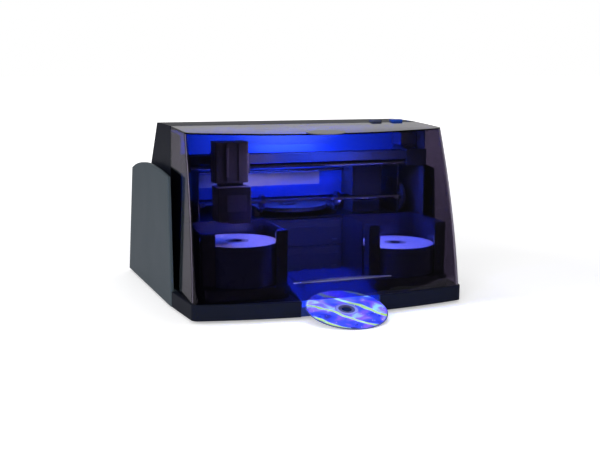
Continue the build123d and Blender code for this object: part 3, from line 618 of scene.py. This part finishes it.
@dataclass
class LipHighlightBand:
    """A pale crescent band laid on the lifting lip's edge as a painted highlight; it follows the lid's bowed,
    leaning front.
    """

    left: float = -70.0
    right: float = 84.0
    steps: int = 44
    half_width: float = 212.0
    bow: float = 27.0
    proud: float = 4.2
    foot_height: float = 28.0
    corner_depth: float = -154.0
    lean: float = 0.12
    curl: float = 0.00058
    middle_height: float = 53.7
    rise_to_right: float = 0.6
    arch: float = 1.2
    thin_end: float = 0.35
    thick_middle: float = 2.3

    def front(self, x: float, z: float) -> float:
        """Where the lid's front face stands at one place.

        Args:
            x: millimetres to the right.
            z: millimetres above the table.

        Returns:
            The depth in millimetres.
        """
        rise = z - self.foot_height
        corner = self.corner_depth + self.lean * rise + self.curl * rise * rise
        radius = (self.half_width ** 2 + self.bow ** 2) / (2.0 * self.bow)
        return corner - self.bow + radius - math.sqrt(radius ** 2 - x ** 2)

    def build(self, finish: bpy.types.Material) -> bpy.types.Object:
        """Makes the crescent of painted highlight as a closed lens-shaped band.

        Args:
            finish: its material.

        Returns:
            The piece.
        """
        form = bmesh.new()
        rings = []
        for i in range(self.steps + 1):
            part = i / self.steps
            swell = math.sin(math.pi * (0.02 + 0.96 * part))
            x = self.left + (self.right - self.left) * part
            middle = self.middle_height + self.rise_to_right * part + self.arch * swell
            reach = self.thin_end + self.thick_middle * swell
            depth = self.front(x, middle)
            outline = ((0.0, reach), (-self.proud * 0.7, reach * 0.6), (-self.proud, 0.0),
                       (-self.proud * 0.7, -reach * 0.6), (0.0, -reach))
            rings.append([form.verts.new(metres(x, depth + y, middle + z)) for y, z in outline])
        for first, second in zip(rings, rings[1:]):
            for j in range(len(first)):
                k = (j + 1) % len(first)
                form.faces.new((first[j], first[k], second[k], second[j]))
        form.faces.new(rings[0])
        form.faces.new(rings[-1])
        bmesh.ops.recalc_face_normals(form, faces=form.faces[:])
        mesh = bpy.data.meshes.new("lid_lip_painted_highlight")
        form.to_mesh(mesh)
        form.free()
        for polygon in mesh.polygons:
            polygon.use_smooth = True
        return settle("lid_lip_painted_highlight", mesh, "lid", finish)


LEFT_STACK_FOOT = (-129.0, -92.0, 0.0)
RIGHT_STACK_FOOT = (129.0, -92.0, 0.0)
LYING_DISC_MIDDLE = (2.5, -200.782, 15.015)
CHUTE_SLOPE = math.radians(14.0)
LAMP_DOME_TOP = 0.2579
LAMP_DOME_TONE = (0.08, 0.3, 1.0)
UNLIT = (0.0, 0.0, 0.0)


@dataclass
class Wardrobe:
    """Every finish, built once, and the CAD nodes that wear it."""

    made: dict[str, bpy.types.Material] = field(default_factory=dict)

    def opaque(self) -> list[Finish]:
        """Lists the opaque finishes.

        Returns:
            The finishes.
        """
        z, x = Grain.DRAWN_ALONG_Z, Grain.DRAWN_ALONG_X
        return [
            Finish("navy_plastic", (0.006, 0.008, 0.016), 0.4, bump=0.10, gloss_level=0.12),
            Finish("pod_grey", (0.052, 0.071, 0.086), 0.42, scale=1600.0, bump=0.20, variation=0.08),
            Finish("black_plastic", (0.022, 0.024, 0.032), 0.5, scale=1300.0, bump=0.22),
            # the chute's faint blue glow is painted light from the lamps inside; the chute is no lamp
            Finish("chute_blue_painted_glow", (0.005, 0.014, 0.11), 0.2, bump=0.05, coat=0.4, glow=0.04),
            Finish("steel", (0.62, 0.64, 0.68), 0.2, 1.0, 700.0, 0.1, grain=x),
            Finish("zinc_sheet", (0.4, 0.42, 0.46), 0.38, 1.0, 500.0, 0.12, 0.25, grain=z),
            Finish("dark_sheet", (0.03, 0.036, 0.055), 0.45, 0.0, 1400.0, 0.25),
            Finish("light_alloy", (0.62, 0.66, 0.74), 0.3, 1.0, 600.0, 0.08, grain=x),
            Finish("bin_plastic", (0.012, 0.014, 0.03), 0.2, bump=0.05, coat=0.6),
            Finish("bezel_plastic", (0.025, 0.028, 0.042), 0.42, scale=1500.0, bump=0.2),
            Finish("tray_plastic", (0.035, 0.038, 0.05), 0.4, scale=1500.0, bump=0.2),
            Finish("rubber", (0.015, 0.015, 0.016), 0.8, scale=1800.0, bump=0.35),
            Finish("belt_rubber", (0.02, 0.02, 0.022), 0.7, scale=2500.0, bump=0.4),
            Finish("lit_button", (0.01, 0.03, 0.22), 0.3, bump=0.04, coat=0.4, glow=0.12,
                   glow_tone=(0.02, 0.2, 1.0)),
            # the carriage shield's blue glow is painted light; the shield is no lamp
            Finish("shield_painted_glow", (0.4, 0.45, 0.6), 0.34, bump=0.08, coat=0.2, glow=0.16),
            Finish("grey_button", (0.06, 0.066, 0.08), 0.4, bump=0.1),
            Finish("badge_metal", (0.3, 0.29, 0.3), 0.3, 0.9, 800.0, 0.1, grain=x),
            Finish("board_green", (0.015, 0.11, 0.05), 0.4, scale=300.0, bump=0.15, variation=0.4),
            Finish("head_plastic", (0.07, 0.07, 0.09), 0.36, scale=1400.0, bump=0.15),
            Finish("cartridge_plastic", (0.02, 0.02, 0.026), 0.35, bump=0.1, coat=0.2),
            Finish("plate_paper", (0.16, 0.155, 0.18), 0.5, bump=0.05),
            # pale glossy finish for the band that paints the lip's highlight
            Finish("lip_painted_highlight", (0.55, 0.55, 0.6), 0.16, 0.35, bump=0.03, coat=0.6),
        ]

    def build(self) -> None:
        """Builds every finish and dresses every CAD node by its slot."""
        for finish in self.opaque():
            self.made[finish.name] = finish.build()
        self.made["smoked_acrylic"] = SmokedAcrylic().build()
        # the back panel wears painted lamp light
        self.made["blue_panel"] = PaintedGlowPanel().build()
        self.made["light_bar"] = self.lamp_board()
        left, right = tuple(metres(*LEFT_STACK_FOOT)), tuple(metres(*RIGHT_STACK_FOOT))
        lying = tuple(metres(*LYING_DISC_MIDDLE))
        self.made["left_stack"] = DiscFace("left_stack_face", left).build()
        self.made["right_stack"] = DiscFace("right_stack_face", right).build()
        self.made["lying_disc"] = DiscFace("lying_disc_face", lying, True, CHUTE_SLOPE).build()
        # the chute's and the carriage shield's finishes carry painted glow
        special = {"left_disc_stack": "left_stack", "right_disc_stack": "right_stack",
                   "printed_disc": "lying_disc", "light_bar": "light_bar",
                   "output_chute": "chute_blue_painted_glow", "carriage_shield": "shield_painted_glow"}
        for part in frame["record"]["subparts"]:
            node = part["node"]
            self.wear(node, special.get(node, part["material_slot"]))

    def wear(self, node: str, finish: str) -> None:
        """Gives one CAD node its finish.

        Args:
            node: the node's name.
            finish: the name of the finish that it wears.
        """
        slots = frame["nodes"][node].data.materials
        slots.clear()
        slots.append(self.made[finish])
        LOG.info("%s wears %s", node, finish)

    def lamp_board(self) -> bpy.types.Material:
        """Makes the light bar's finish: a board whose three lamp domes below it are lit.

        Returns:
            The material.
        """
        material, t, shader, _ = Finish("lamp_board", (0.1, 0.12, 0.18), 0.4, glow=3.0).start()
        apart = t.add("ShaderNodeSeparateXYZ")
        t.join(t.add("ShaderNodeTexCoord").outputs["Object"], apart.inputs[0])
        dome = t.maths("LESS_THAN", apart.outputs["Z"], LAMP_DOME_TOP)
        t.join(t.mix(dome, UNLIT, LAMP_DOME_TONE), shader.inputs["Emission Color"])
        return material


@dataclass
class FineDetail:
    """The small fittings that the construction leaves to the looks.

    Attributes:
        wardrobe: where the finishes come from.
        facing_front: turns a round fitting's length along the depth.
        facing_side: turns a round fitting's length along the width.
    """

    wardrobe: Wardrobe
    facing_front: Point = (math.pi / 2, 0.0, 0.0)
    facing_side: Point = (0.0, math.pi / 2, 0.0)

    def screws(self) -> list[Row]:
        """Lists the screws and rivets, all of plain steel.

        Returns:
            The rows.
        """
        front, side = self.facing_front, self.facing_side
        rivet = (3.0, 3.0, 0.5)
        return [
            Row("front_bar_screws", "case", "steel", Form.ROUND, 6,
                (-150, -26.3, 151.5), (60, 0, 0), (1.5, 1.5, 0.5), front),
            Row("left_plate_rivets", "case", "steel", Form.ROUND, 5,
                (-168.3, 2, 200), (0, 16, 0), rivet, side),
            Row("right_plate_rivets", "case", "steel", Form.ROUND, 5,
                (168.3, 2, 200), (0, 16, 0), rivet, side),
            Row("rear_upper_screws", "case", "steel", Form.ROUND, 4,
                (-55, 205.8, 109.0), (36, 0, 0), (3.2, 3.2, 0.6), front),
        ]

    def ribs(self) -> list[Row]:
        """Lists the head's grip ribs and the beam's marks.

        Returns:
            The rows.
        """
        return [
            Row("head_grip_ribs", "picker_head", "head_plastic", Form.BLOCK, 5,
                (-158, -118.3, 142), (0, 0, 2.0), (12, 0.6, 0.9)),
            Row("beam_marks", "case", "steel", Form.BLOCK, 16,
                (-60, -52.1, 224.5), (12, 0, 0), (0.5, 0.2, 2.5)),
        ]

    def blocks(self) -> list[tuple[SoftBlock, str]]:
        """Lists the small moulded blocks with the finishes that they wear.

        Returns:
            The blocks and the finishes' names.
        """
        return [
            (SoftBlock("head_label_plate", "picker_head", "head_plastic",
                       (-152, -118.5, 152), (-122, -117.9, 176), 0.25), "plate_paper"),
            (SoftBlock("head_side_plate", "picker_head", "head_plastic",
                       (-165.4, -112, 150), (-164.9, -90, 178), 0.2), "plate_paper"),
            (SoftBlock("column_front_strip", "picker", "head_plastic",
                       (-148, -101.4, 200), (-144, -100.9, 243), 0.2), "plate_paper"),
            (SoftBlock("upper_drive_lamp", "case", "lit_button",
                       (-58, -21.5, 83.5), (-54, -20.9, 85.5), 0.2), "lit_button"),
            (SoftBlock("lower_drive_lamp", "case", "lit_button",
                       (-58, -21.5, 40.5), (-54, -20.9, 42.5), 0.2), "lit_button"),
            (SoftBlock("cartridge_latch", "print_carriage", "cartridge_plastic",
                       (112, 16, 200.8), (136, 32, 202.6), 0.5), "head_plastic"),
        ]

    def build(self) -> None:
        """Makes every small fitting; each row wears its slot's finish."""
        for row in self.screws() + self.ribs():
            row.build(self.wardrobe.made[row.slot])
        # the pale band on the lid's lip is a painted highlight
        LipHighlightBand().build(self.wardrobe.made["lip_painted_highlight"])
        for block, finish in self.blocks():
            block.build(self.wardrobe.made[finish])


WHITE = (1.0, 1.0, 1.0)
LAMP_BLUE = (0.05, 0.13, 1.0)
LAVENDER = (1.0, 0.86, 0.94)


@dataclass(frozen=True)
class Lamp:
    """A soft square lamp that lights without showing itself or its mirror image.

    Attributes:
        name: the lamp's name.
        place: where it stands, in metres.
        aim: what it points at, in metres.
        size: its side in metres.
        power: its power in watts.
        tone: its colour.
    """

    name: str
    place: Vector
    aim: Vector
    size: float
    power: float
    tone: Colour = WHITE

    def build(self) -> None:
        """Places the lamp."""
        data = bpy.data.lights.new(self.name, "AREA")
        data.size, data.energy, data.color = self.size, self.power, self.tone
        lamp = bpy.data.objects.new(self.name, data)
        lamp.location = self.place
        lamp.rotation_euler = (self.aim - self.place).to_track_quat("-Z", "Y").to_euler()
        lamp.visible_camera = False
        lamp.visible_transmission = False
        lamp.visible_glossy = False
        bpy.context.scene.collection.objects.link(lamp)


@dataclass
class Studio:
    """The pale floor, the soft lamps, the white surround and the camera.

    Attributes:
        eye: where the camera stands, in metres.
        forward: where it looks.
        roll: its tilt in degrees.
        lens: its focal length in millimetres.
        sensor: its sensor's width in millimetres.
        through_gain: the surround's strength through the lid, at its brightest.
        through_stops: how bright it is through the lid, from the middle to the right.
        behind: limits for its strength when mirrored, from front to back.
        beside: limits for its strength when mirrored, from left to right.
        soft_light: its strength as a light.
        floor_reach: half the floor's side in metres.
        floor_whitening: limits for the floor's own glow, from near to far.
        floor_roughness: how matt the floor is.
        floor_tone: the floor's colour.
        mirrored_floor_tone: its colour when mirrored.
        mirrored_floor_glow: its glow when mirrored.
    """

    eye: Point = (-0.5897, -1.5763, 0.3866)
    forward: Point = (0.347, 0.9236, -0.1632)
    roll: float = 0.5
    lens: float = 64.2
    sensor: float = 36.0
    through_gain: float = 3.0
    through_stops: tuple[tuple[float, float], ...] = (
        (0.0, 0.0), (0.238, 0.0), (0.245, 0.55), (0.256, 0.55), (0.262, 0.0), (0.38, 0.0), (0.46, 1.0))
    behind: tuple[float, float, float, float] = (-0.35, 0.25, 0.05, 0.5)
    beside: tuple[float, float, float, float] = (-0.3, 0.12, 0.16, 1.0)
    soft_light: float = 0.4
    floor_reach: float = 12.0
    floor_whitening: tuple[float, float, float, float] = (0.55, 2.6, 0.38, 1.0)
    floor_roughness: float = 0.7
    floor_tone: Colour = (0.85, 0.85, 0.86)
    mirrored_floor_tone: Colour = (0.22, 0.22, 0.25)
    mirrored_floor_glow: float = 0.1

    def build(self) -> None:
        """Sets up the whole studio."""
        bpy.context.scene.view_settings.view_transform = "Standard"
        self.world()
        self.floor()
        for lamp in self.lamps():
            lamp.build()
        self.camera()

    def lamps(self) -> list[Lamp]:
        """Lists the lamps round the object and the small ones inside it.

        Returns:
            The lamps.
        """
        middle = Vector((0.0, 0.0, 0.12))
        return [
            Lamp("key", Vector((-1.19, -2.04, 0.9)), middle, 1.25, 34.0),
            Lamp("left", Vector((-2.2, 0.1, 1.2)), middle, 1.2, 14.0),
            Lamp("top", Vector((0.0, 0.5, 2.2)), middle, 1.6, 14.0),
            Lamp("light_bar_glow", metres(0.0, 26.0, 252.0), Vector((0.0, -0.06, 0.1)), 0.10, 7.0, LAMP_BLUE),
            Lamp("front_glow", metres(10.0, -100.0, 250.0), metres(0.0, -30.0, 90.0), 0.12, 7.0, LAMP_BLUE),
            Lamp("left_stack_fill", metres(-70.0, -118.0, 232.0), metres(-135.0, -95.0, 100.0),
                 0.04, 0.5, LAVENDER),
            Lamp("right_stack_fill", metres(75.0, -118.0, 226.0), metres(129.0, -92.0, 85.0),
                 0.04, 0.3, LAVENDER),
        ]

    @staticmethod
    def spread(t: Tree, value: bpy.types.NodeSocket,
               limits: tuple[float, float, float, float]) -> bpy.types.NodeSocket:
        """Maps one range of values to another.

        Args:
            t: the tree.
            value: what is mapped.
            limits: the low and high it comes from, then the low and high it goes to.

        Returns:
            The mapped value.
        """
        node = t.add("ShaderNodeMapRange")
        for name, limit in zip(("From Min", "From Max", "To Min", "To Max"), limits):
            node.inputs[name].default_value = limit
        t.join(value, node.inputs["Value"])
        return node.outputs[0]

    def world(self) -> None:
        """Makes the surround: white to the camera, dim when mirrored, and milder as a light.

        Through the lid it is dark, but for a narrow upright band and for a bright field at the right.
        """
        world = bpy.data.worlds.new("surround")
        bpy.context.scene.world = world
        world.use_nodes = True
        t = Tree(world.node_tree)
        paths = t.add("ShaderNodeLightPath").outputs
        bent = t.maths("MAXIMUM", paths["Is Glossy Ray"], paths["Is Transmission Ray"])
        seen = t.maths("MAXIMUM", paths["Is Camera Ray"], bent)
        apart = t.add("ShaderNodeSeparateXYZ")
        t.join(t.add("ShaderNodeTexCoord").outputs["Generated"], apart.inputs[0])
        behind = self.spread(t, apart.outputs["Y"], self.behind)
        beside = self.spread(t, apart.outputs["X"], self.beside)
        mirrored = t.maths("MULTIPLY", paths["Is Glossy Ray"], t.maths("MULTIPLY", behind, beside))
        stops = [(place, (level, level, level)) for place, level in self.through_stops]
        card = t.maths("MULTIPLY", t.ramp(apart.outputs["X"], stops), self.through_gain)
        clear = t.maths("SUBTRACT", paths["Is Transmission Ray"], paths["Is Glossy Ray"])
        through = t.maths("MULTIPLY", t.maths("MAXIMUM", clear, 0.0), card)
        bright = t.maths("MAXIMUM", t.maths("MAXIMUM", paths["Is Camera Ray"], through), mirrored)
        diffuse = t.maths("SUBTRACT", 1.0, seen)
        strength = t.maths("ADD", bright, t.maths("MULTIPLY", diffuse, self.soft_light))
        background = world.node_tree.nodes["Background"]
        t.join(strength, background.inputs["Strength"])
        background.inputs["Color"].default_value = (*WHITE, 1.0)

    def floor(self) -> None:
        """Makes the pale floor, which keeps the object's shadow.

        It whitens far off and is darker when mirrored.
        """
        mesh = bpy.data.meshes.new("floor")
        form = bmesh.new()
        bmesh.ops.create_grid(form, x_segments=1, y_segments=1, size=self.floor_reach)
        form.to_mesh(mesh)
        form.free()
        floor = bpy.data.objects.new("floor", mesh)
        bpy.context.scene.collection.objects.link(floor)
        mesh.materials.append(self.floor_finish())

    def floor_finish(self) -> bpy.types.Material:
        """Makes the floor's material.

        Returns:
            The material.
        """
        material = bpy.data.materials.new("pale_floor")
        material.use_nodes = True
        t = Tree(material.node_tree)
        shader = material.node_tree.nodes["Principled BSDF"]
        shader.inputs["Roughness"].default_value = self.floor_roughness
        paths = t.add("ShaderNodeLightPath").outputs
        tone = t.mix(paths["Is Glossy Ray"], self.floor_tone, self.mirrored_floor_tone)
        t.join(tone, shader.inputs["Base Color"])
        shader.inputs["Emission Color"].default_value = (*WHITE, 1.0)
        mirrored = t.maths("MULTIPLY", paths["Is Glossy Ray"], self.mirrored_floor_glow)
        reach = t.add("ShaderNodeVectorMath", operation="LENGTH")
        t.join(t.add("ShaderNodeTexCoord").outputs["Object"], reach.inputs[0])
        fade = self.spread(t, reach.outputs["Value"], self.floor_whitening)
        direct = t.maths("MAXIMUM", paths["Is Camera Ray"], paths["Is Transmission Ray"])
        plain = t.maths("MULTIPLY", direct, fade)
        t.join(t.maths("MAXIMUM", plain, mirrored), shader.inputs["Emission Strength"])
        return material

    def camera(self) -> None:
        """Places the camera where the photograph was taken from."""
        ahead = Vector(self.forward).normalized()
        right = ahead.cross(Vector((0.0, 0.0, 1.0))).normalized()
        above = right.cross(ahead)
        upright = Matrix((right, above, -ahead)).transposed()
        turn = upright @ Matrix.Rotation(math.radians(self.roll), 3, "Z")
        data = bpy.data.cameras.new("camera")
        data.lens, data.sensor_width = self.lens, self.sensor
        camera = bpy.data.objects.new("camera", data)
        camera.matrix_world = Matrix.Translation(Vector(self.eye)) @ turn.to_4x4()
        bpy.context.scene.collection.objects.link(camera)
        bpy.context.scene.camera = camera


def main() -> None:
    """Builds the looks in order."""
    logging.basicConfig(level=logging.INFO, format="%(message)s")
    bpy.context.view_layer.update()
    Studio().build()
    wardrobe = Wardrobe()
    wardrobe.build()
    FineDetail(wardrobe).build()


if __name__ == "__main__":
    main()
